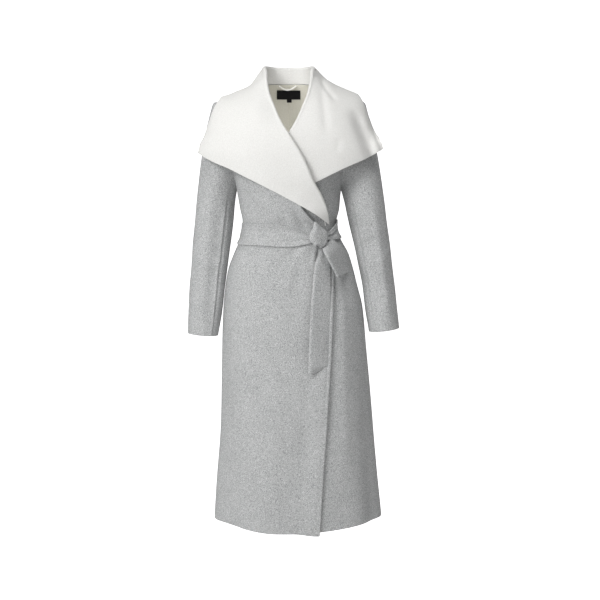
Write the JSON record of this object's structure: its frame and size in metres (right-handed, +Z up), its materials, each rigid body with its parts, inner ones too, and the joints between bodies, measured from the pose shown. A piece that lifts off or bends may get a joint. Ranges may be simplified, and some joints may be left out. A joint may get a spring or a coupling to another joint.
{
  "type": "wrap coat",
  "caption": "Long belted wrap coat in grey double-faced wool with a wide ivory shawl collar, worn shape, hollow.",
  "frame": {"origin": "the nape, where the wearer holds the coat up: on the centre plane, half way from chest to back, level with the back neck seam", "axes": "+Z up, -Y towards the front of the coat, +X towards the wearer's left"},
  "size_m": [0.5698, 0.3356, 1.2293],
  "materials": {
    "grey_wool": "soft napped heather wool",
    "ivory_wool": "soft napped wool",
    "label_satin": "woven satin"
  },
  "bodies": {
    "root": {"back_left": "grey_wool", "back_right": "grey_wool", "front_left": "grey_wool", "front_right": "grey_wool", "sleeve_left_top": "grey_wool", "sleeve_left_under": "grey_wool", "sleeve_right_top": "grey_wool", "sleeve_right_under": "grey_wool", "collar_left": "ivory_wool", "collar_right": "ivory_wool", "belt_band": "grey_wool", "belt_knot": "grey_wool", "belt_tail_long": "grey_wool", "belt_tail_short": "grey_wool", "hanger_loop": "ivory_wool", "label": "label_satin", "size_tab": "label_satin"}
  },
  "joints": []
}
